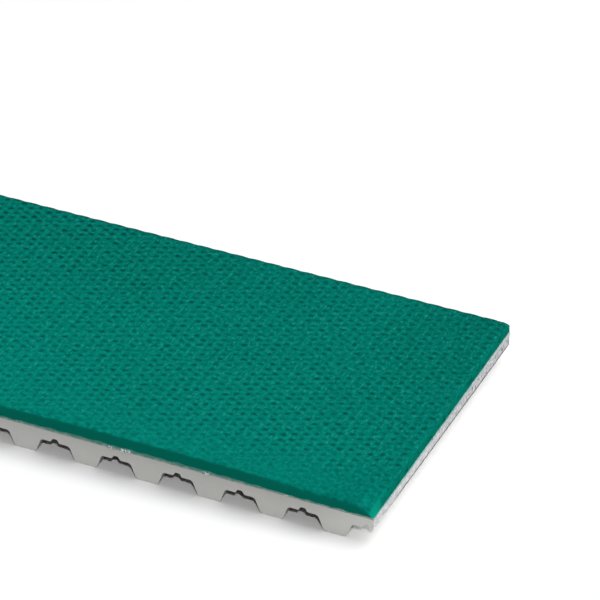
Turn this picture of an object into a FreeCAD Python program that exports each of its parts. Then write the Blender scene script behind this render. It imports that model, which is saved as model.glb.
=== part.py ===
import FreeCAD, Part
import math
import os

# A straight length of coated timing belt, cut square at both ends.
# Frame: X along the belt, Y across it, Z up from the tooth tips to the cover.
# The origin is the middle of the footprint, on the plane of the tooth tips.

# Toothed belt, trapezoid teeth at a metric pitch (millimetres and degrees)
PITCH = 10.0
TOOTH_COUNT = 12
BELT_WIDTH = 50.0
TOOTH_HEIGHT = 2.5
TOOTH_BASE_WIDTH = 5.3
FLANK_ANGLE = 20.0
TIP_RADIUS = 0.6
ROOT_RADIUS = 0.6
BACK_THICKNESS = 2.0

# The square cut runs through a tooth gap, this far past the notch
CUT_PAST_NOTCH = 1.1

# Notch that the winding nose leaves across every tooth gap
NOTCH_DEPTH = 0.5
NOTCH_MOUTH_WIDTH = 1.4
NOTCH_FLOOR_WIDTH = 0.7
NOTCH_RADIUS = 0.2

# Steel tension cords, side by side in the back
CORD_DIAMETER = 0.9
CORD_SPACING = 2.25
CORD_HEIGHT_ABOVE_ROOT = 1.0
CORD_SIDE_WALL = 0.8
CORD_CLEARANCE = 0.01

# Layers bonded on the back
BOND_THICKNESS = 0.1
COVER_THICKNESS = 2.0
COVER_EDGE_RADIUS = 0.5

# Places that follow from the sizes above
BELT_LENGTH = TOOTH_COUNT * PITCH
ROOT_Z = TOOTH_HEIGHT
BACK_Z = ROOT_Z + BACK_THICKNESS
BOND_Z = BACK_Z + BOND_THICKNESS
CORD_Z = ROOT_Z + CORD_HEIGHT_ABOVE_ROOT
CORD_ZONE = BELT_WIDTH - 2 * CORD_SIDE_WALL - CORD_DIAMETER
CORD_COUNT = int(CORD_ZONE // CORD_SPACING) + 1
FIRST_NOTCH_X = -BELT_LENGTH / 2 + PITCH - CUT_PAST_NOTCH
FIRST_TOOTH_X = FIRST_NOTCH_X - PITCH / 2


def slab(bottom_z, thickness):
    """Flat layer with the outline of the cut belt."""
    corner = FreeCAD.Vector(-BELT_LENGTH / 2, -BELT_WIDTH / 2, bottom_z)
    return Part.makeBox(BELT_LENGTH, BELT_WIDTH, thickness, corner)


def rounded_bar(corners):
    """Bar across the belt from (x, z, radius) corners, rounded by tangent arcs where a radius is given.

    The last corner is sharp, because the outline starts and ends there.
    """
    points = [FreeCAD.Vector(x, -BELT_WIDTH / 2, z) for x, z, radius in corners]
    following = points[1:] + points[:1]
    edges = []
    last_exit = points[-1]
    for i, point in enumerate(points):
        radius = corners[i][2]
        entry = point
        leave = point
        if radius > 0:
            to_last = (points[i - 1] - point).normalize()
            to_next = (following[i] - point).normalize()
            half_angle = to_last.getAngle(to_next) / 2
            inward = (to_last + to_next).normalize()
            middle = point + inward * (radius / math.sin(half_angle) - radius)
            entry = point + to_last * (radius / math.tan(half_angle))
            leave = point + to_next * (radius / math.tan(half_angle))
        if not entry.isEqual(last_exit, 1e-6):
            edges.append(Part.makeLine(last_exit, entry))
        if radius > 0:
            edges.append(Part.Arc(entry, middle, leave).toShape())
        last_exit = leave
    return Part.Face(Part.Wire(edges)).extrude(FreeCAD.Vector(0, BELT_WIDTH, 0))


def tooth(centre_x):
    """Trapezoid tooth with rounded tip, flaring into the gap roots on both sides."""
    flank = math.radians(FLANK_ANGLE)
    half_base = TOOTH_BASE_WIDTH / 2
    half_tip = half_base - TOOTH_HEIGHT * math.tan(flank)
    fillet_reach = ROOT_RADIUS * math.tan((math.pi / 2 - flank) / 2)
    half_flare = half_base + fillet_reach
    return rounded_bar([
        (centre_x - half_flare, ROOT_Z, 0.0),
        (centre_x - half_base, ROOT_Z, ROOT_RADIUS),
        (centre_x - half_tip, 0.0, TIP_RADIUS),
        (centre_x + half_tip, 0.0, TIP_RADIUS),
        (centre_x + half_base, ROOT_Z, ROOT_RADIUS),
        (centre_x + half_flare, ROOT_Z, 0.0),
    ])


def notch_corners(centre_x):
    """Corners of one winding notch, left to right along the gap root."""
    floor_z = ROOT_Z + NOTCH_DEPTH
    return [
        (centre_x - NOTCH_MOUTH_WIDTH / 2, ROOT_Z, NOTCH_RADIUS),
        (centre_x - NOTCH_FLOOR_WIDTH / 2, floor_z, NOTCH_RADIUS),
        (centre_x + NOTCH_FLOOR_WIDTH / 2, floor_z, NOTCH_RADIUS),
        (centre_x + NOTCH_MOUTH_WIDTH / 2, ROOT_Z, NOTCH_RADIUS),
    ]


def cord_line(index, diameter):
    """Round bar of one cord's run, from cut end to cut end."""
    y = (index - (CORD_COUNT - 1) / 2) * CORD_SPACING
    start = FreeCAD.Vector(-BELT_LENGTH / 2, y, CORD_Z)
    return Part.makeCylinder(diameter / 2, BELT_LENGTH, start, FreeCAD.Vector(1, 0, 0))


def belt_back():
    """Back of the belt above the gap roots, notched at every gap, with a channel for every cord."""
    end_x = BELT_LENGTH / 2
    corners = [(end_x, BACK_Z, 0.0), (-end_x, BACK_Z, 0.0), (-end_x, ROOT_Z, 0.0)]
    for step in range(TOOTH_COUNT):
        corners += notch_corners(FIRST_NOTCH_X + step * PITCH)
    corners.append((end_x, ROOT_Z, 0.0))
    channels = [cord_line(i, CORD_DIAMETER + 2 * CORD_CLEARANCE) for i in range(CORD_COUNT)]
    return rounded_bar(corners).cut(channels)


def cover():
    """Carrying layer, with the rolled upper edge that the knife leaves."""
    layer = slab(BOND_Z, COVER_THICKNESS)
    top_z = BOND_Z + COVER_THICKNESS
    top_edges = [e for e in layer.Edges if min(v.Z for v in e.Vertexes) > top_z - COVER_EDGE_RADIUS]
    return layer.makeFillet(COVER_EDGE_RADIUS, top_edges)


def main():
    nodes = {
        "belt_back": belt_back(),
        "bond_film": slab(BACK_Z, BOND_THICKNESS),
        "cover": cover(),
    }
    for i in range(TOOTH_COUNT):
        nodes[f"tooth_{i + 1:02d}"] = tooth(FIRST_TOOTH_X + i * PITCH)
    for i in range(CORD_COUNT):
        nodes[f"cord_{i + 1:02d}"] = cord_line(i, CORD_DIAMETER)

    os.makedirs("parts", exist_ok=True)
    for name, shape in nodes.items():
        shape.exportStep(f"parts/{name}.step")


main()
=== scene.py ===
import math

import bpy
import numpy as np
from mathutils import Matrix, Vector


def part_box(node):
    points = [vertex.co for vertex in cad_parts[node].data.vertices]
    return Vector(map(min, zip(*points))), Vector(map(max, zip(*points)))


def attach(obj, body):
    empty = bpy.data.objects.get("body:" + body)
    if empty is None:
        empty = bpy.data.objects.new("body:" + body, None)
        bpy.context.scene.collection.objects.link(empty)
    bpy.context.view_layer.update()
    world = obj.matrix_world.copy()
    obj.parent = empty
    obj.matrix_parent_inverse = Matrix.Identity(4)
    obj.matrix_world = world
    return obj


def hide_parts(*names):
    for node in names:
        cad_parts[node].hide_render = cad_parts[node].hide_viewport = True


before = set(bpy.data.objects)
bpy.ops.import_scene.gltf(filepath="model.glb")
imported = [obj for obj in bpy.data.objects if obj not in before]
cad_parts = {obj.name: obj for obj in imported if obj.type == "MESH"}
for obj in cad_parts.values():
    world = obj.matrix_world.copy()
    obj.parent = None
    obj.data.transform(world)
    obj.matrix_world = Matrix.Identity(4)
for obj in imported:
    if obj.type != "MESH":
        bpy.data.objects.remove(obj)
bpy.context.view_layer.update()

# Every piece is modelled in millimetres and made metres when it is finished.
# Near is the -Y side and far the +Y side, as the photograph shows them, and its cut end is the one at +X.
MM = 0.001

# Places closer together than this are the same place
SAME_PLACE = 0.001

# Places that come from the frame, in millimetres
back_low, back_high = (Vector(c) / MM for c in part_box("belt_back"))
film_low, film_high = (Vector(c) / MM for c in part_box("bond_film"))
cover_low, cover_high = (Vector(c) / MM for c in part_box("cover"))
tooth_names = sorted(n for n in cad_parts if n.startswith("tooth_"))
cord_names = sorted(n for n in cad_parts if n.startswith("cord_"))
LENGTH = back_high.x - back_low.x
WIDTH = back_high.y - back_low.y
END_X = LENGTH / 2
SIDE_Y = WIDTH / 2
ROOT_Z = back_low.z
BACK_Z = back_high.z
TOP_Z = cover_high.z

# Tooth profile, as in the solids apart from the deeper notch
PITCH = 10.0
TOOTH_BASE_WIDTH = 5.3
FLANK_ANGLE = math.radians(20)
TOOTH_RADIUS = 0.6
TOOTH_ARC_STEPS = 6
CUT_PAST_NOTCH = 1.1
NOTCH_DEPTH = 0.6
NOTCH_MOUTH_WIDTH = 1.4
NOTCH_FLOOR_WIDTH = 0.7
NOTCH_RADIUS = 0.2
NOTCH_ARC_STEPS = 4

# Edges of the casting
BODY_EDGE = 0.05
BODY_EDGE_ANGLE = math.radians(40)

# Sheared ends: their depth, how squarely their faces look along the belt, and how far the shear drew up
# the lower edge of the +X end at its two corners
SHEARED_DEPTH = 0.2
SHEARED_SQUARENESS = 0.9
SHEAR_DRAW_NEAR = 0.36
SHEAR_DRAW_FAR = 0.12

# Cover: the plain weave that embossed it, its rolled upper edge and its wall
CLOTH_REPEAT_ALONG = 3.0
CLOTH_REPEAT_ACROSS = 1.375
POINTS_PER_REPEAT_ALONG = 10
POINTS_PER_REPEAT_ACROSS = 6
PIT_ALONG = 0.52
PIT_ACROSS = 0.36
PIT_DEPTH = 0.08
EDGE_ROLL = 0.15
EDGE_ROLL_STEPS = 3
EMBOSSED_SHARE_OF_ROLL = 0.6
WALL_RINGS = 3

# The impression wears off between these places across the belt, by these shares at its middle and +X end
WORN_FROM = -14.5
WORN_TO = -23.0
WORN_AT_MIDDLE = 0.3
WORN_AT_END = 0.9

# The cover's near edge curls up about one place along it
CURL_HEIGHT = 0.3
CURL_MIDDLE = 23
CURL_HALF_LENGTH = 20
CURL_REACH = 4

# Towards the +X end the near edge is rolled over: where that begins, over what run, how wide and how deep
ROLL_FROM = 42
ROLL_RUN = 10
ROLL_FRESH = 0.01
ROLL_WORN = 1.3
ROLL_DROOP = 0.32
ROLL_WAVE = 0.12
ROLL_WAVE_LONG = 0.9
ROLL_WAVE_SHORT = 0.37
ROLL_WAVE_SHORT_START = 1

# The two corners of the +X end sink, and the near one leans back too
NEAR_CORNER_SINK = 1.1
NEAR_CORNER_ALONG = 2.2
NEAR_CORNER_ACROSS = 5
NEAR_CORNER_POWER = 1.5
FAR_CORNER_SINK = 0.4
FAR_CORNER_REACH = 1.2
LEAN_BACK = 0.8
LEAN_ALONG = 3
LEAN_ACROSS = 6

# Both long edges dip between the yarns, over the last millimetre
YARN_DIP = 0.14

# Adhesive bead round the film: how far it stands out, two waves in it (run along, run across, start), and
# how much it spreads the rings that lie within a share of its half height
BEAD = 0.06
BEAD_WAVE = 0.02
BEAD_WAVES = ((0.7, 0.9, 0.0), (0.31, 0.23, 1.1))
BEAD_SPREAD = 0.5
BEAD_SPREAD_WITHIN = 0.9

# Adhesive squeezed out in flecks: place along the side in millimetres, spread and size of each
NEAR_FLECKS = (
    (18.3, 0.8, 0.22), (20.2, 0.6, 0.34), (21.2, 0.3, 0.25), (33.5, 0.8, 0.16), (46.2, 0.6, 0.18),
    (-8.0, 1.0, 0.22), (-27.0, 0.7, 0.2), (-44.5, 1.3, 0.25),
)
FAR_FLECKS = ((41.0, 0.9, 0.22), (12.5, 0.6, 0.18), (-15.0, 1.4, 0.3), (-38.0, 0.8, 0.2))
FLECK_LUMPS = 0.25
FLECK_LUMP_RATE = 9

# Film: two rounds of cuts in its outline, its rings, how far it climbs the cover and runs down the casting
FILM_CUTS = (99, 9)
FILM_RINGS = 4
CLIMB_AT_SIDE = 0.1
CLIMB_WAVE = 0.05
CLIMB_WAVE_SHORT = 0.41
CLIMB_WAVE_LONG = 0.67
CLIMB_WAVE_LONG_START = 2
CLIMB_AT_END = 0.2
CLIMB_AT_END_SLOPE = 0.0075
RUN_DOWN = 0.15
RUN_DOWN_MORE_AT_END = 0.15

# Cord: one core strand with six laid round it
STRANDS = 6
POINTS_PER_STRAND = 4
LAY_TURNS = 16
STEPS_PER_TURN = 8
CORD_STICK_OUT = 0.02

# Camera, matched to the photograph: pixels are those of its 600 x 600 frame
PHOTO_SIDE = 600
CAMERA_FOCAL_PX = 4083.1
CAMERA_AZIMUTH = 25.431
CAMERA_ELEVATION = 34.599
CAMERA_ROLL = -0.776
CAMERA_DISTANCE = 631.2
CAMERA_TARGET = Vector((24.543, 26.241, 0.0))

# Settings that many shader nodes share
COLOURS = {"data_type": "RGBA"}
SMOOTH = {"interpolation_type": "SMOOTHSTEP"}
TIMES = {"operation": "MULTIPLY"}
TIMES_PLUS = {"operation": "MULTIPLY_ADD"}
LARGER = {"operation": "MAXIMUM"}
UNSIGNED = {"operation": "ABSOLUTE"}


def srgb(code):
    """Linear colour of an sRGB hex value."""
    channels = [int(code[i:i + 2], 16) / 255 for i in (1, 3, 5)]
    linear = [c / 12.92 if c <= 0.04045 else ((c + 0.055) / 1.055) ** 2.4 for c in channels]
    return (*linear, 1.0)


def add(tree, kind, settings=None, **inputs):
    """Adds a shader node. settings are its properties, inputs its sockets' values or what is linked to them.

    A socket goes by its name, or by its number after an underscore. Of sockets with the same name, and of the
    outputs of a node that is linked, the first that is in use is taken.
    """
    made = tree.nodes.new("ShaderNode" + kind)
    for key, value in (settings or {}).items():
        setattr(made, key, value)
    for key, value in inputs.items():
        if key[1:].isdigit():
            socket = made.inputs[int(key[1:])]
        else:
            socket = next(s for s in made.inputs if s.enabled and s.name == key.replace("_", " "))
        if isinstance(value, bpy.types.Node):
            value = next(s for s in value.outputs if s.enabled)
        if isinstance(value, bpy.types.NodeSocket):
            tree.links.new(value, socket)
        else:
            socket.default_value = value
    return made


def new_material(name):
    """Empty node material and its tree. The scale of each noise in it is one over a real size."""
    material = bpy.data.materials.new(name)
    material.use_nodes = True
    material.node_tree.nodes.clear()
    return material, material.node_tree


def embossed_elastomer():
    """Calendered green elastomer, embossed by cloth.

    It is matt, with painted shade in the pits and painted highlights in pale streaks on the land between
    them.
    """
    material, tree = new_material("green_elastomer_embossed")
    place = add(tree, "TexCoord").outputs["Object"]
    axes = add(tree, "SeparateXYZ", Vector=place).outputs

    # One pit at every second crossing of the yarns, each a little off its place and pressed to its own depth
    turn = (0, 0, math.pi / 4)
    per_along = math.sqrt(2) / CLOTH_REPEAT_ALONG
    per_across = math.sqrt(2) / CLOTH_REPEAT_ACROSS
    pit_size = (per_along * PIT_ALONG, per_across * PIT_ACROSS, 1)
    wander_by = (0.17 * MM, 0.12 * MM, 0)
    wander = add(tree, "TexNoise", {"normalize": False}, Vector=place, Scale=1 / (0.8 * MM)).outputs["Color"]
    bent = add(tree, "VectorMath", TIMES_PLUS, _0=wander, _1=wander_by, _2=place)
    weave = add(tree, "Mapping", Vector=bent, Scale=(per_along / MM, per_across / MM, 0), Rotation=turn)
    flat = {"voronoi_dimensions": "2D"}
    crossing = add(tree, "TexVoronoi", flat, Vector=weave, Scale=1.0, Randomness=0.2).outputs
    off = add(tree, "VectorMath", {"operation": "SUBTRACT"}, _0=weave, _1=crossing["Position"])
    off = add(tree, "Mapping", {"vector_type": "TEXTURE"}, Vector=off, Scale=pit_size, Rotation=turn)
    away = add(tree, "VectorMath", {"operation": "LENGTH"}, _0=off)
    hollow = add(tree, "MapRange", SMOOTH, Value=away, From_Min=0.2, From_Max=1.5, To_Min=1.0, To_Max=0.0)
    depth = add(tree, "MapRange", Value=crossing["Color"], From_Min=0.1, From_Max=0.9, To_Min=0.35)
    pit = add(tree, "Math", TIMES, _0=hollow, _1=depth)

    # The press bore a little harder on the near side, and away from the +X end harder on the far side
    near, far = -SIDE_Y * MM, SIDE_Y * MM
    tilt_from, tilt_to = 25 * MM, -15 * MM
    tilt_per_mm = 0.018 / MM
    firm = add(tree, "MapRange", Value=axes["Y"], From_Min=near, From_Max=far, To_Min=1.0, To_Max=0.8)
    tilt = add(tree, "MapRange", Value=axes["X"], From_Min=tilt_from, From_Max=tilt_to, To_Max=tilt_per_mm)
    firm = add(tree, "Math", TIMES_PLUS, _0=axes["Y"], _1=tilt, _2=firm)
    pit = add(tree, "Math", TIMES, _0=pit, _1=firm)

    # Towards the near edge the pits are worn off
    rubbed = add(tree, "MapRange", Value=axes["Y"], From_Min=WORN_FROM * MM, From_Max=WORN_TO * MM)
    share = add(
        tree, "MapRange", Value=axes["X"], From_Max=END_X * MM,
        To_Min=-WORN_AT_MIDDLE, To_Max=-WORN_AT_END,
    )
    held = add(tree, "Math", TIMES_PLUS, _0=rubbed, _1=share, _2=1.0)
    pit = add(tree, "Math", TIMES, _0=pit, _1=held)

    # Painted shade: a dark line runs along the far edge
    line_from, line_to = (SIDE_Y - 0.9) * MM, (SIDE_Y - 0.2) * MM
    far_edge = add(tree, "MapRange", Value=axes["Y"], From_Min=line_from, From_Max=line_to, To_Max=0.5)
    pit = add(tree, "Math", LARGER, _0=pit, _1=far_edge)

    # The land is cloudy and grained, darker where it is worn and at the +X end; paler on the near side is
    # painted light
    dull_from, dull_to = 45 * MM, 57 * MM
    cloud_share = -0.15
    painted_light_across = -0.0037 / MM
    held_share = 0.06
    cloud = add(tree, "TexNoise", Vector=place, Scale=1 / (14 * MM), Detail=1.0)
    grain = add(tree, "TexNoise", Vector=place, Scale=1 / (0.6 * MM), Detail=3.0)
    tone = add(tree, "Math", TIMES_PLUS, _0=cloud, _1=cloud_share, _2=grain)
    tone = add(tree, "Math", TIMES_PLUS, _0=axes["Y"], _1=painted_light_across, _2=tone)
    dull = add(tree, "MapRange", Value=axes["X"], From_Min=dull_from, From_Max=dull_to, To_Max=-0.08)
    tone = add(tree, "Math", {"operation": "ADD"}, _0=tone, _1=dull)
    tone = add(tree, "Math", TIMES_PLUS, _0=held, _1=held_share, _2=tone)
    even = add(tree, "MapRange", Value=tone, From_Min=0.235, From_Max=0.735)
    land = add(tree, "Mix", COLOURS, Factor=even, A=srgb("#006156"), B=srgb("#028676"))

    # Painted highlights: pale streaks 0.3 mm wide, drawn out across the belt
    streak_stretch = add(tree, "Mapping", Vector=place, Scale=(1.0, 0.3, 1.0))
    streak = add(tree, "TexNoise", Vector=streak_stretch, Scale=1 / (0.3 * MM), Detail=2.0)
    pale = add(tree, "MapRange", Value=streak, From_Min=0.55, From_Max=0.8, To_Max=0.7)
    pale = add(tree, "Math", TIMES, _0=pale, _1=held)
    land = add(tree, "Mix", COLOURS, Factor=pale, A=land, B=srgb("#28a492"))

    # The pits stand in the bump as twice as deep as the grain is high, and their dark colour is painted shade
    pit_share = -2.0
    tint = add(tree, "Mix", COLOURS, Factor=pit, A=land, B=srgb("#00463d"))
    relief = add(tree, "Math", TIMES_PLUS, _0=pit, _1=pit_share, _2=grain)
    bump = add(tree, "Bump", Strength=0.5, Distance=0.04 * MM, Height=relief)
    shader = add(tree, "BsdfPrincipled", Base_Color=tint, Roughness=0.7, Specular_IOR_Level=0.01, Normal=bump)
    add(tree, "OutputMaterial", Surface=shader)
    return material


def cut_elastomer():
    """The same elastomer where it was cut: smoother, with faint marks that the knife drew along it.

    At the sheared ends it has dark spots, and painted light makes it paler at the near corner.
    """
    material, tree = new_material("green_elastomer_knife_cut")
    place = add(tree, "TexCoord").outputs["Object"]
    axes = add(tree, "SeparateXYZ", Vector=place).outputs
    drawn = add(tree, "Mapping", Vector=place, Scale=(0.04, 0.04, 1.0))
    marks = add(tree, "TexNoise", Vector=drawn, Scale=1 / (0.25 * MM), Detail=4.0)
    cloud = add(tree, "TexNoise", Vector=place, Scale=1 / (4 * MM), Detail=3.0)
    tint = add(tree, "Mix", COLOURS, Factor=cloud, A=srgb("#057b6a"), B=srgb("#068573"))

    # Dark spots close to the ends
    torn_from, torn_to = (END_X - 1.2) * MM, (END_X - 0.05) * MM
    along = add(tree, "Math", UNSIGNED, _0=axes["X"])
    sheared = add(tree, "MapRange", Value=along, From_Min=torn_from, From_Max=torn_to, To_Max=0.8)
    patchy = add(tree, "TexNoise", Vector=place, Scale=1 / (1.1 * MM), Detail=2.0)
    patchy = add(tree, "MapRange", Value=patchy, From_Min=0.55, From_Max=0.68, To_Min=0.3)
    spot = add(tree, "Math", TIMES, _0=patchy, _1=sheared)
    tint = add(tree, "Mix", COLOURS, Factor=spot, A=tint, B=srgb("#00483e"))

    # Painted light: paler at the near corner of each end
    corner_from, corner_to = -20 * MM, -24 * MM
    corner = add(tree, "MapRange", Value=axes["Y"], From_Min=corner_from, From_Max=corner_to)
    corner = add(tree, "Math", TIMES, _0=corner, _1=sheared)
    tint = add(tree, "Mix", COLOURS, Factor=corner, A=tint, B=srgb("#0a947f"))

    bump = add(tree, "Bump", Strength=0.3, Distance=0.05 * MM, Height=marks)
    shader = add(tree, "BsdfPrincipled", Base_Color=tint, Roughness=0.6, Specular_IOR_Level=0.0, Normal=bump)
    add(tree, "OutputMaterial", Surface=shader)
    return material


def cast_polyurethane():
    """Cast polyurethane: translucent grey, satin, slightly cloudy, paler in the teeth and near the cut ends.

    That paleness is painted light, for light coming in there from more than one side. The moulded faces
    under the belt are duller than its cut sides, apart from the end gaps, which are painted bright.
    """
    material, tree = new_material("polyurethane_cast")
    place = add(tree, "TexCoord").outputs["Object"]
    axes = add(tree, "SeparateXYZ", Vector=place).outputs
    along = add(tree, "Math", UNSIGNED, _0=axes["X"])
    across = add(tree, "Math", UNSIGNED, _0=axes["Y"])
    cloud = add(tree, "TexNoise", Vector=place, Scale=1 / (5 * MM), Detail=4.0)
    tint = add(tree, "Mix", COLOURS, Factor=cloud, A=srgb("#dededa"), B=srgb("#e6e6e2"))

    # Painted light: paler down the teeth and over the last 12 mm of the belt
    tooth_from, tooth_to = 4.2 * MM, 0.4 * MM
    lit_from, lit_to = (END_X - 12) * MM, END_X * MM
    in_tooth = add(tree, "MapRange", Value=axes["Z"], From_Min=tooth_from, From_Max=tooth_to, To_Max=0.9)
    at_end = add(tree, "MapRange", SMOOTH, Value=along, From_Min=lit_from, From_Max=lit_to, To_Max=0.9)
    painted_glow = add(tree, "Math", {"operation": "ADD", "use_clamp": True}, _0=in_tooth, _1=at_end)
    tint = add(tree, "Mix", COLOURS, Factor=painted_glow, A=tint, B=srgb("#fcfcf8"))

    # Dull where it was moulded, apart from the cut gaps at the ends, which are painted bright as the light
    # that comes in there
    side_from, side_to = (SIDE_Y - 0.1) * MM, (SIDE_Y - 0.02) * MM
    gap_from, gap_to = (END_X - 4) * MM, (END_X - 2) * MM
    cut_side = add(tree, "MapRange", Value=across, From_Min=side_from, From_Max=side_to)
    open_gap = add(tree, "MapRange", Value=along, From_Min=gap_from, From_Max=gap_to)
    bright = add(tree, "Math", LARGER, _0=cut_side, _1=open_gap)
    tint = add(tree, "Mix", COLOURS, Factor=bright, A=srgb("#c2c2be"), B=tint)

    # Fine marks run along the belt
    drawn = add(tree, "Mapping", Vector=place, Scale=(0.05, 1.0, 1.0))
    marks = add(tree, "TexNoise", Vector=drawn, Scale=1 / (0.3 * MM), Detail=4.0)
    bump = add(tree, "Bump", Strength=0.2, Distance=0.04 * MM, Height=marks)
    shader = add(
        tree, "BsdfPrincipled", Base_Color=tint, Roughness=0.45, IOR=1.5,
        Specular_IOR_Level=0.3, Normal=bump,
    )
    add(tree, "OutputMaterial", Surface=shader)
    return material


def sheared_polyurethane():
    """The casting where the shear went through: dull, torn and smeared by the cut cords.

    Painted shade darkens its lower edge; painted light pales it towards the near corner, lit from two sides.
    """
    material, tree = new_material("polyurethane_sheared")
    place = add(tree, "TexCoord").outputs["Object"]
    axes = add(tree, "SeparateXYZ", Vector=place).outputs
    patchy = add(tree, "TexNoise", Vector=place, Scale=1 / (0.45 * MM), Detail=3.0, Roughness=0.7)
    patch = add(tree, "MapRange", Value=patchy, From_Min=0.38, From_Max=0.6)
    tint = add(tree, "Mix", COLOURS, Factor=patch, A=srgb("#7d808d"), B=srgb("#dedddf"))

    # Painted light: paler towards the near corner
    lit_from, lit_to = 8 * MM, -6 * MM
    painted_glow = add(tree, "MapRange", Value=axes["Y"], From_Min=lit_from, From_Max=lit_to, To_Max=0.45)
    tint = add(tree, "Mix", COLOURS, Factor=painted_glow, A=tint, B=srgb("#f6f6f5"))

    # Painted shade follows the lower edge, drawn up more at the near corner, and leaves that corner unshaded
    slope = (SHEAR_DRAW_NEAR - SHEAR_DRAW_FAR) / WIDTH
    lower_edge = ROOT_Z + (SHEAR_DRAW_NEAR + SHEAR_DRAW_FAR) / 2
    shade_full, shade_gone = (lower_edge + 0.1) * MM, (lower_edge + 0.4) * MM
    unshaded_to, shaded_from = -22 * MM, -14 * MM
    level = add(tree, "Math", TIMES_PLUS, _0=axes["Y"], _1=slope, _2=axes["Z"])
    edge_shade = add(
        tree, "MapRange", SMOOTH, Value=level, From_Min=shade_full, From_Max=shade_gone,
        To_Min=1.0, To_Max=0.0,
    )
    away = add(tree, "MapRange", Value=axes["Y"], From_Min=unshaded_to, From_Max=shaded_from)
    edge_shade = add(tree, "Math", TIMES, _0=edge_shade, _1=away)
    tint = add(tree, "Mix", COLOURS, Factor=edge_shade, A=tint, B=srgb("#4c4c50"))

    bump = add(tree, "Bump", Strength=0.5, Distance=0.08 * MM, Height=patchy)
    shader = add(tree, "BsdfPrincipled", Base_Color=tint, Roughness=0.7, Specular_IOR_Level=0.2, Normal=bump)
    add(tree, "OutputMaterial", Surface=shader)
    return material


def bond_adhesive():
    """Cured adhesive: dyed green by the cover in the joint, glossy white in the flecks pressed out of it.

    The dye ends in a ragged line, which lies higher towards the far side, where the pale part is thicker.
    """
    material, tree = new_material("adhesive_cured")
    place = add(tree, "TexCoord").outputs["Object"]
    axes = add(tree, "SeparateXYZ", Vector=place).outputs

    # Green above a ragged line, pale below it
    dye_from, dye_to = (BACK_Z + 0.3) * MM, (BACK_Z + 0.7) * MM
    ragged_by = 0.8 * MM
    patch = add(tree, "TexNoise", Vector=place, Scale=1 / (0.7 * MM), Detail=3.0)
    ragged = add(tree, "Math", TIMES_PLUS, _0=patch, _1=ragged_by, _2=axes["Z"])
    thick = add(tree, "MapRange", Value=axes["Y"], From_Max=SIDE_Y * MM, To_Max=0.35 * MM)
    ragged = add(tree, "Math", {"operation": "SUBTRACT"}, _0=ragged, _1=thick)
    dyed = add(tree, "MapRange", Value=ragged, From_Min=dye_from, From_Max=dye_to)
    joint = add(tree, "Mix", COLOURS, Factor=dyed, A=srgb("#b4bfba"), B=srgb("#3f8a7c"))

    # White, in specks, where a fleck stands out from the side
    fleck_from, fleck_to = (SIDE_Y + 0.1) * MM, (SIDE_Y + 0.2) * MM
    across = add(tree, "Math", UNSIGNED, _0=axes["Y"])
    fleck = add(tree, "MapRange", Value=across, From_Min=fleck_from, From_Max=fleck_to)
    specks = add(tree, "TexNoise", Vector=place, Scale=1 / (0.35 * MM), Detail=2.0)
    specks = add(tree, "MapRange", Value=specks, From_Min=0.45, From_Max=0.55)
    fleck = add(tree, "Math", TIMES, _0=fleck, _1=specks)
    tint = add(tree, "Mix", COLOURS, Factor=fleck, A=joint, B=srgb("#ffffff"))

    shader = add(tree, "BsdfPrincipled", Base_Color=tint, Roughness=0.3, Specular_IOR_Level=0.4)
    add(tree, "OutputMaterial", Surface=shader)
    return material


def galvanised_strand():
    """Galvanised steel wire: dull zinc grey with a soft gloss, smeared pale at the sheared ends.

    The single wires are too fine to show, so spots of 0.2 mm break up the grey in their place.
    """
    material, tree = new_material("steel_strand_galvanised")
    place = add(tree, "TexCoord").outputs["Object"]
    steel_to, smear_from = (END_X - 0.4) * MM, (END_X - 0.2) * MM
    along = add(tree, "SeparateXYZ", Vector=place).outputs["X"]
    along = add(tree, "Math", UNSIGNED, _0=along)
    steel = add(
        tree, "MapRange", Value=along, From_Min=steel_to, From_Max=smear_from,
        To_Min=0.85, To_Max=0.0,
    )
    spots = add(tree, "TexNoise", Vector=place, Scale=1 / (0.2 * MM), Detail=3.0)
    tint = add(tree, "Mix", COLOURS, Factor=spots, A=srgb("#83868a"), B=srgb("#b4b7ba"))
    tint = add(tree, "Mix", COLOURS, Factor=steel, A=srgb("#bfc0c6"), B=tint)
    shader = add(tree, "BsdfPrincipled", Base_Color=tint, Metallic=steel, Roughness=0.45)
    add(tree, "OutputMaterial", Surface=shader)
    return material


def seen_directly(tree):
    """1 for what the camera, a gloss or a clear piece shows, 0 for what only lights the belt."""
    path = add(tree, "LightPath").outputs
    seen = add(tree, "Math", LARGER, _0=path["Is Camera Ray"], _1=path["Is Glossy Ray"])
    return add(tree, "Math", LARGER, _0=seen, _1=path["Is Transmission Ray"])


def studio_floor():
    """White paper sweep. It sends back less light than it shows, so that the tooth gaps stay deep."""
    material, tree = new_material("paper_sweep_white")
    tint = add(tree, "Mix", COLOURS, Factor=seen_directly(tree), A=srgb("#a8a8a8"), B=srgb("#ffffff"))
    shader = add(tree, "BsdfDiffuse", Color=tint)
    add(tree, "OutputMaterial", Surface=shader)
    return material


def clear_selection():
    """Leaves edit mode and deselects every object."""
    if bpy.context.mode != "OBJECT":
        bpy.ops.object.mode_set(mode="OBJECT")
    bpy.ops.object.select_all(action="DESELECT")


def edit(piece):
    """Puts a piece, alone, in edit mode with nothing selected."""
    clear_selection()
    piece.select_set(True)
    bpy.context.view_layer.objects.active = piece
    bpy.ops.object.mode_set(mode="EDIT")
    bpy.ops.mesh.select_mode(type="VERT")
    bpy.ops.mesh.select_all(action="DESELECT")


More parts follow.
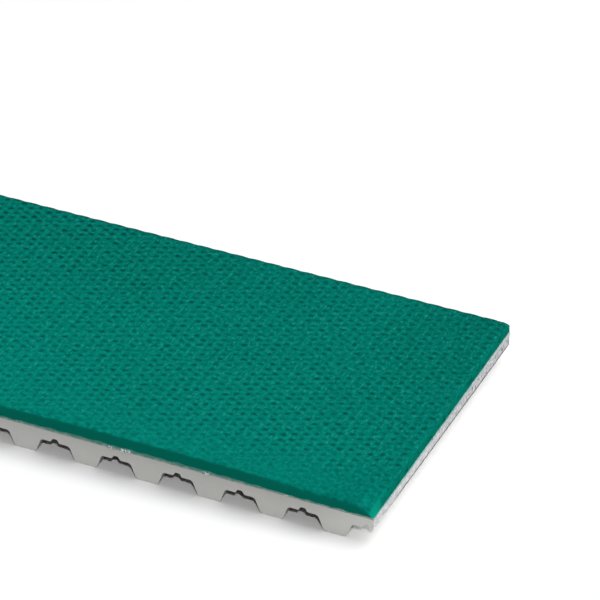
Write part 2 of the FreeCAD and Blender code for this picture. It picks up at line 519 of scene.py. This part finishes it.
def pick(piece, test, what="vertices"):
    """Selects, in edit mode, the vertices or faces of a piece whose place passes a test."""
    bpy.ops.mesh.select_mode(type="VERT" if what == "vertices" else "FACE")
    bpy.ops.mesh.select_all(action="DESELECT")
    bpy.ops.object.mode_set(mode="OBJECT")
    for item in getattr(piece.data, what):
        item.select = test(item.co if what == "vertices" else item.center)
    bpy.ops.object.mode_set(mode="EDIT")


def pull_out(x, y, z):
    """Extrudes what is selected by a step."""
    bpy.ops.mesh.extrude_region_move(TRANSFORM_OT_translate={"value": (x, y, z)})


def face_outwards():
    """Turns all faces of the piece in edit mode outwards."""
    bpy.ops.mesh.select_all(action="SELECT")
    bpy.ops.mesh.normals_make_consistent(inside=False)


def close_ends():
    """Fills the open ends of the piece in edit mode."""
    bpy.ops.mesh.select_all(action="SELECT")
    bpy.ops.mesh.fill_holes(sides=0)
    face_outwards()


def leave_edit():
    bpy.ops.object.mode_set(mode="OBJECT")


def add_primitive(name, operator, **settings):
    """A named primitive with everything else deselected."""
    clear_selection()
    operator(**settings)
    piece = bpy.context.active_object
    piece.name = name
    piece.data.name = name
    bpy.ops.object.transform_apply(location=True, rotation=True, scale=True)
    return piece


def add_object(name, data):
    """A mesh, lamp or camera put into the scene."""
    made = bpy.data.objects.new(name, data)
    bpy.context.scene.collection.objects.link(made)
    return made


def apply_modifier(piece, kind, **settings):
    """Adds a modifier to a piece and applies it at once."""
    bpy.context.view_layer.objects.active = piece
    modifier = piece.modifiers.new(kind.lower(), kind)
    for key, value in settings.items():
        setattr(modifier, key, value)
    bpy.ops.object.modifier_apply(modifier=modifier.name)


def finish_piece(piece, nodes, slot, *materials):
    """Scales a piece to metres, dresses it and lets it stand for its nodes on the belt."""
    piece.data.transform(Matrix.Scale(MM, 4))
    for material in materials:
        piece.data.materials.append(material)
    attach(piece, "root")
    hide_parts(*nodes)


def points_of(piece):
    """Vertex places of a piece as an array."""
    flat = np.empty(len(piece.data.vertices) * 3)
    piece.data.vertices.foreach_get("co", flat)
    return flat.reshape(-1, 3)


def move_points(piece, points):
    piece.data.vertices.foreach_set("co", points.ravel())
    piece.data.update()


def draw_outline(name, corners):
    """Flat face in the XZ plane, drawn corner by corner from one vertex."""
    piece = add_primitive(name, bpy.ops.mesh.primitive_plane_add, size=1)
    edit(piece)
    bpy.ops.mesh.select_all(action="SELECT")
    bpy.ops.mesh.merge(type="CENTER")
    bpy.ops.mesh.select_all(action="SELECT")
    bpy.ops.transform.translate(value=(corners[0][0], 0, corners[0][1]))
    for (last_x, last_z), (x, z) in zip(corners, corners[1:]):
        pull_out(x - last_x, 0, z - last_z)
    bpy.ops.mesh.select_all(action="SELECT")
    bpy.ops.mesh.edge_face_add()
    return piece


def round_corners(piece, middle_x, half_width, radius, turn, segments):
    """Rounds the outline's corners under the back that lie up to half_width from a place along the belt.

    turn is the angle through which the outline turns at each of them.
    """
    reach = half_width + SAME_PLACE
    pick(piece, lambda p: abs(p.x - middle_x) < reach and p.z < BACK_Z - SAME_PLACE)
    bpy.ops.mesh.bevel(offset=radius * math.tan(turn / 2), segments=segments, affect="VERTICES")


def model_belt_body():
    """One pitch is drawn, rounded, pulled across the width and repeated along the belt."""
    left = back_low.x
    right = left + PITCH
    notch_x = right - CUT_PAST_NOTCH
    tooth_x = notch_x - PITCH / 2
    half_base = TOOTH_BASE_WIDTH / 2
    half_tip = half_base - ROOT_Z * math.tan(FLANK_ANGLE)
    half_mouth = NOTCH_MOUTH_WIDTH / 2
    half_floor = NOTCH_FLOOR_WIDTH / 2
    notch_z = ROOT_Z + NOTCH_DEPTH
    piece = draw_outline("polyurethane_belt", [
        (left, BACK_Z),
        (left, ROOT_Z),
        (tooth_x - half_base, ROOT_Z),
        (tooth_x - half_tip, 0),
        (tooth_x + half_tip, 0),
        (tooth_x + half_base, ROOT_Z),
        (notch_x - half_mouth, ROOT_Z),
        (notch_x - half_floor, notch_z),
        (notch_x + half_floor, notch_z),
        (notch_x + half_mouth, ROOT_Z),
        (right, ROOT_Z),
        (right, BACK_Z),
    ])
    tooth_turn = math.pi / 2 - FLANK_ANGLE
    notch_turn = math.atan2(NOTCH_DEPTH, half_mouth - half_floor)
    round_corners(piece, tooth_x, half_base, TOOTH_RADIUS, tooth_turn, TOOTH_ARC_STEPS)
    round_corners(piece, notch_x, half_mouth, NOTCH_RADIUS, notch_turn, NOTCH_ARC_STEPS)
    bpy.ops.mesh.select_all(action="SELECT")
    bpy.ops.transform.translate(value=(0, -SIDE_Y, 0))
    pull_out(0, WIDTH, 0)
    pick(piece, lambda p: min(abs(p.x - left), abs(p.x - right)) < SAME_PLACE, "polygons")
    bpy.ops.mesh.delete(type="FACE")
    leave_edit()
    apply_modifier(
        piece, "ARRAY", count=len(tooth_names), use_relative_offset=False, use_constant_offset=True,
        constant_offset_displace=(PITCH, 0, 0), use_merge_vertices=True, merge_threshold=SAME_PLACE,
    )
    edit(piece)
    close_ends()
    for side, draw in ((-1, SHEAR_DRAW_NEAR), (1, SHEAR_DRAW_FAR)):
        pick(piece, lambda p: p.x > END_X - SAME_PLACE and p.z < ROOT_Z + SAME_PLACE and p.y * side > 0)
        bpy.ops.transform.translate(value=(0, 0, draw))
    leave_edit()
    apply_modifier(
        piece, "BEVEL", width=BODY_EDGE, segments=2, limit_method="ANGLE", angle_limit=BODY_EDGE_ANGLE,
    )
    for face in piece.data.polygons:
        square = abs(face.normal.x) > SHEARED_SQUARENESS
        at_end = END_X - abs(face.center.x) < SHEARED_DEPTH
        face.material_index = 1 if square and at_end else 0
    bpy.ops.object.shade_smooth_by_angle(angle=math.radians(50))
    apply_modifier(piece, "WEIGHTED_NORMAL", weight=100, keep_sharp=True)
    return piece


def cloth_press(x, y):
    """How far the cloth pressed in: 1 in the middle of a pit, 0 on the land between.

    A plain weave presses a pit at every second crossing. The pits are worn off towards the near edge.
    """
    press = np.zeros_like(x)
    for shift in (0.0, 0.5):
        off_x = x - (np.round(x / CLOTH_REPEAT_ALONG - shift) + shift) * CLOTH_REPEAT_ALONG
        off_y = y - (np.round(y / CLOTH_REPEAT_ACROSS - shift) + shift) * CLOTH_REPEAT_ACROSS
        press += np.exp(-(off_x / PIT_ALONG) ** 2 - (off_y / PIT_ACROSS) ** 2)
    rubbed = np.clip((y - WORN_FROM) / (WORN_TO - WORN_FROM), 0, 1)
    share = WORN_AT_MIDDLE + (WORN_AT_END - WORN_AT_MIDDLE) * np.clip(x / END_X, 0, 1)
    return press * (1 - rubbed * share)


def edge_lift(x, y):
    """How far the near edge curls up where the adhesive under it is thick."""
    along = (x - CURL_MIDDLE) / CURL_HALF_LENGTH
    inward = (y + SIDE_Y) / CURL_REACH
    return CURL_HEIGHT * np.exp(-along ** 4 - inward ** 2)


def edge_droop(x, y):
    """How far the top sinks at the rolled near edge, between the yarns and at the corners of the +X end."""
    worn = np.clip((x - ROLL_FROM) / ROLL_RUN, 0, 1)
    roll = ROLL_FRESH + ROLL_WORN * worn * worn * (3 - 2 * worn)
    ragged = 1 + ROLL_WAVE * np.sin(x / ROLL_WAVE_LONG)
    ragged = ragged + ROLL_WAVE * np.sin(x / ROLL_WAVE_SHORT + ROLL_WAVE_SHORT_START)
    rolled = ROLL_DROOP * ragged * roll * np.clip(1 - (y + SIDE_Y) / roll, 0, 1) ** 2
    inward = np.clip(SIDE_Y - np.abs(y), 0, 1)
    between_yarns = YARN_DIP * (np.sin(np.pi * x / CLOTH_REPEAT_ALONG) * (1 - inward)) ** 2
    near_away = np.hypot((END_X - x) / NEAR_CORNER_ALONG, (y + SIDE_Y) / NEAR_CORNER_ACROSS)
    near_corner = NEAR_CORNER_SINK * np.clip(1 - near_away, 0, 1) ** NEAR_CORNER_POWER
    far_away = np.hypot(END_X - x, y - SIDE_Y) / FAR_CORNER_REACH
    far_corner = FAR_CORNER_SINK * np.clip(1 - far_away, 0, 1) ** 2
    return rolled + between_yarns + near_corner + far_corner


def lean_back(x, y):
    """How far the near corner of the +X end leans back."""
    across = np.clip(1 - (y + SIDE_Y) / LEAN_ACROSS, 0, 1)
    along = np.clip((x - END_X + LEAN_ALONG) / LEAN_ALONG, 0, 1)
    return LEAN_BACK * across * along


def model_cover():
    """Fine grid pressed by the cloth, with its border rolled over and drawn down to the bond."""
    flat_x = END_X - EDGE_ROLL
    flat_y = SIDE_Y - EDGE_ROLL
    cells_x = round(2 * flat_x * POINTS_PER_REPEAT_ALONG / CLOTH_REPEAT_ALONG)
    cells_y = round(2 * flat_y * POINTS_PER_REPEAT_ACROSS / CLOTH_REPEAT_ACROSS)
    piece = add_primitive(
        "elastomer_cover", bpy.ops.mesh.primitive_grid_add, size=2,
        x_subdivisions=cells_x, y_subdivisions=cells_y,
    )
    edit(piece)
    bpy.ops.mesh.select_all(action="SELECT")
    bpy.ops.transform.resize(value=(flat_x, flat_y, 1), center_override=(0, 0, 0))
    bpy.ops.transform.translate(value=(0, 0, TOP_Z))
    bpy.ops.mesh.select_mode(type="EDGE")
    bpy.ops.mesh.select_all(action="DESELECT")
    bpy.ops.mesh.select_non_manifold()
    reach = 0.0
    drop = 0.0
    for step in range(1, EDGE_ROLL_STEPS + 1):
        angle = step / EDGE_ROLL_STEPS * math.pi / 2
        next_reach = EDGE_ROLL * math.sin(angle)
        next_drop = EDGE_ROLL * (1 - math.cos(angle))
        pull_out(0, 0, drop - next_drop)
        wider = ((flat_x + next_reach) / (flat_x + reach), (flat_y + next_reach) / (flat_y + reach), 1)
        bpy.ops.transform.resize(value=wider, center_override=(0, 0, 0))
        reach = next_reach
        drop = next_drop
    wall = TOP_Z - EDGE_ROLL - cover_low.z
    for ring in range(WALL_RINGS):
        pull_out(0, 0, -wall / WALL_RINGS)
    bpy.ops.mesh.edge_face_add()
    leave_edit()
    for face in piece.data.polygons:
        embossed = face.center.z > TOP_Z - EDGE_ROLL * EMBOSSED_SHARE_OF_ROLL
        face.material_index = 0 if embossed else 1

    points = points_of(piece)
    x, y, z = points.T
    on_top = np.clip((z - TOP_Z + EDGE_ROLL) / EDGE_ROLL, 0, 1)
    height_share = np.clip((z - cover_low.z) / (TOP_Z - cover_low.z), 0, 1)
    points[:, 2] -= PIT_DEPTH * cloth_press(x, y) * on_top + edge_droop(x, y) * height_share - edge_lift(x, y)
    points[:, 0] -= lean_back(x, y) * height_share
    move_points(piece, points)
    bpy.ops.object.shade_smooth_by_angle(angle=math.radians(50))
    return piece


def squeezed_out(x, y):
    """How far the adhesive bead stands out round the film's edge."""
    bead = np.full_like(x, BEAD)
    for run_along, run_across, start in BEAD_WAVES:
        bead = bead + BEAD_WAVE * np.sin(x / run_along + y / run_across + start)
    for side, flecks in ((-1, NEAR_FLECKS), (1, FAR_FLECKS)):
        on_side = np.abs(y - side * SIDE_Y) < SAME_PLACE
        for place, spread, size in flecks:
            lumpy = 1 - FLECK_LUMPS + FLECK_LUMPS * np.sin(FLECK_LUMP_RATE * x / spread)
            bead = bead + on_side * lumpy * size * np.exp(-((x - place) / spread) ** 4)
    return np.maximum(bead, 0)


def model_bond_film():
    """Outline of the film, drawn up into a bead and closed above and below.

    The bead bulges where adhesive was pressed out, climbs the cover and runs down the casting.
    """
    size = film_high - film_low
    middle = (film_low + film_high) / 2
    piece = add_primitive("bond_film_layer", bpy.ops.mesh.primitive_plane_add, size=1)
    edit(piece)
    bpy.ops.mesh.select_all(action="SELECT")
    bpy.ops.transform.resize(value=(size.x, size.y, 1), center_override=(0, 0, 0))
    bpy.ops.mesh.delete(type="ONLY_FACE")
    for cuts in FILM_CUTS:
        bpy.ops.mesh.select_all(action="SELECT")
        bpy.ops.mesh.subdivide(number_cuts=cuts)
    bpy.ops.mesh.select_all(action="SELECT")
    bpy.ops.transform.translate(value=(0, 0, film_low.z))
    bpy.ops.mesh.edge_face_add()
    for ring in range(FILM_RINGS):
        pull_out(0, 0, size.z / FILM_RINGS)
    face_outwards()
    leave_edit()

    points = points_of(piece)
    x, y, z = points.T
    bead = squeezed_out(x, y)
    level = (z - middle.z) / (size.z / 2)
    bulge = bead * np.sqrt(np.maximum(1 - level ** 2, 0))
    at_side = np.abs(np.abs(y) - SIDE_Y) < SAME_PLACE
    at_end = np.abs(np.abs(x) - END_X) < SAME_PLACE
    ragged = CLIMB_WAVE * np.sin(x / CLIMB_WAVE_SHORT)
    ragged = ragged + CLIMB_WAVE * np.sin(x / CLIMB_WAVE_LONG + CLIMB_WAVE_LONG_START)
    climb_at_side = CLIMB_AT_SIDE + ragged + edge_lift(x, y)
    climb = np.where(at_end, CLIMB_AT_END + CLIMB_AT_END_SLOPE * y, climb_at_side)
    run_down = RUN_DOWN + RUN_DOWN_MORE_AT_END * at_end
    spread = BEAD_SPREAD * bead * level * (np.abs(level) < BEAD_SPREAD_WITHIN)
    points[:, 1] += at_side * np.sign(y) * bulge
    points[:, 0] += at_end * np.sign(x) * bulge
    points[:, 2] += np.where(level > 0, climb, run_down) * level + spread
    move_points(piece, points)
    bpy.ops.object.shade_smooth_by_angle(angle=math.radians(60))
    return piece


def model_cord():
    """Six strands round a core: one lobed outline twisted along the cord."""
    low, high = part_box(cord_names[0])
    radius = (high[2] - low[2]) / 2 / MM

    # Three strands lie side by side across the cord
    strand = radius / 3
    centre = 2 * strand
    piece = add_primitive(
        "cord", bpy.ops.mesh.primitive_circle_add, vertices=STRANDS * POINTS_PER_STRAND, radius=1,
        rotation=(0, math.pi / 2, 0),
    )
    points = points_of(piece)
    turn = np.arctan2(points[:, 2], points[:, 1])
    sector = 2 * np.pi / STRANDS
    off = (turn + sector / 2) % sector - sector / 2
    lobe = centre * np.cos(off) + np.sqrt(np.maximum(strand ** 2 - (centre * np.sin(off)) ** 2, 0))
    points[:, 1:] *= lobe[:, None]
    points[:, 0] = -END_X - CORD_STICK_OUT
    move_points(piece, points)
    run = LENGTH + 2 * CORD_STICK_OUT
    apply_modifier(
        piece, "SCREW", axis="X", angle=2 * math.pi, screw_offset=run / LAY_TURNS, iterations=LAY_TURNS,
        steps=STEPS_PER_TURN, render_steps=STEPS_PER_TURN, use_merge_vertices=True, merge_threshold=0.0001,
    )
    edit(piece)
    close_ends()
    leave_edit()
    bpy.ops.object.shade_smooth_by_angle(angle=math.radians(60))
    return piece


def place_cords(material):
    """Copies the laid cord to every channel, left and right hand lay in turn."""
    pattern = model_cord()
    for index, name in enumerate(cord_names):
        low, high = (Vector(c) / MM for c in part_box(name))
        middle = (low + high) / 2
        piece = add_object(f"laid_{name}", pattern.data.copy())
        if index % 2:
            piece.data.transform(Matrix.Scale(-1, 4, Vector((0, 1, 0))))
            piece.data.flip_normals()
        piece.data.transform(Matrix.Translation((0, middle.y, middle.z)))
        finish_piece(piece, [name], "steel_cord", material)
    bpy.data.objects.remove(pattern)


def direction(azimuth, elevation):
    """Unit vector from the belt towards a place round it, its angles in degrees as the camera's are."""
    azimuth = math.radians(azimuth)
    elevation = math.radians(elevation)
    level = math.cos(elevation)
    return Vector((math.sin(azimuth) * level, -math.cos(azimuth) * level, math.sin(elevation)))


def camera_axes():
    """Right, up and backward directions of the camera."""
    back = direction(CAMERA_AZIMUTH, CAMERA_ELEVATION)
    azimuth = math.radians(CAMERA_AZIMUTH)
    roll = math.radians(CAMERA_ROLL)
    level = Vector((math.cos(azimuth), math.sin(azimuth), 0))
    right = level * math.cos(roll) + back.cross(level) * math.sin(roll)
    return right, back.cross(right), back


def place_camera():
    right, up, back = camera_axes()
    data = bpy.data.cameras.new("photo_camera")
    data.sensor_width = 36.0
    data.lens = CAMERA_FOCAL_PX * data.sensor_width / PHOTO_SIDE
    data.clip_start = 0.01
    data.clip_end = 20.0
    camera = add_object("photo_camera", data)
    turn = Matrix((right, up, back)).transposed().to_4x4()
    camera.matrix_world = Matrix.Translation((CAMERA_TARGET + back * CAMERA_DISTANCE) * MM) @ turn
    bpy.context.scene.camera = camera


def add_softbox(name, azimuth, elevation, distance, side, watts):
    """Square lamp that looks at the middle of the view; sizes in metres."""
    data = bpy.data.lights.new(name, "AREA")
    data.shape = "SQUARE"
    data.size = side
    data.energy = watts
    lamp = add_object(name, data)
    towards = direction(azimuth, elevation)
    lamp.location = CAMERA_TARGET * MM + towards * distance
    lamp.rotation_euler = towards.to_track_quat("Z", "Y").to_euler()


def light_studio():
    """A small key over the camera, softboxes behind and beside the cut end, and a pale ceiling."""
    add_softbox("key_lamp", azimuth=30, elevation=43.5, distance=3.0, side=0.1, watts=30.0)
    add_softbox("back_softbox", azimuth=130, elevation=60, distance=3.0, side=2.5, watts=56.0)
    add_softbox("side_softbox", azimuth=100, elevation=27, distance=3.0, side=1.2, watts=38.0)
    world = bpy.data.worlds.new("studio_room")
    bpy.context.scene.world = world
    world.use_nodes = True
    tree = world.node_tree
    tree.nodes.clear()

    # The room is dark up to 37 degrees above the floor, and pale overhead from 53 degrees on
    way = add(tree, "TexCoord").outputs["Generated"]
    height = add(tree, "SeparateXYZ", Vector=way).outputs["Z"]
    ceiling = add(
        tree, "MapRange", SMOOTH, Value=height, From_Min=0.6, From_Max=0.8,
        To_Min=0.02, To_Max=0.32,
    )
    strength = add(tree, "Math", LARGER, _0=seen_directly(tree), _1=ceiling)
    room = add(tree, "Background", Color=(1, 1, 1, 1), Strength=strength)
    add(tree, "OutputWorld", Surface=room)


def lay_floor():
    floor = add_primitive("studio_sweep", bpy.ops.mesh.primitive_plane_add, size=6)
    floor.data.materials.append(studio_floor())


finish_piece(
    model_belt_body(), ["belt_back", *tooth_names], "polyurethane",
    cast_polyurethane(), sheared_polyurethane(),
)
finish_piece(model_bond_film(), ["bond_film"], "bond_adhesive", bond_adhesive())
finish_piece(model_cover(), ["cover"], "green_cover", embossed_elastomer(), cut_elastomer())
place_cords(galvanised_strand())
lay_floor()
light_studio()
place_camera()
bpy.context.scene.view_settings.view_transform = "Standard"
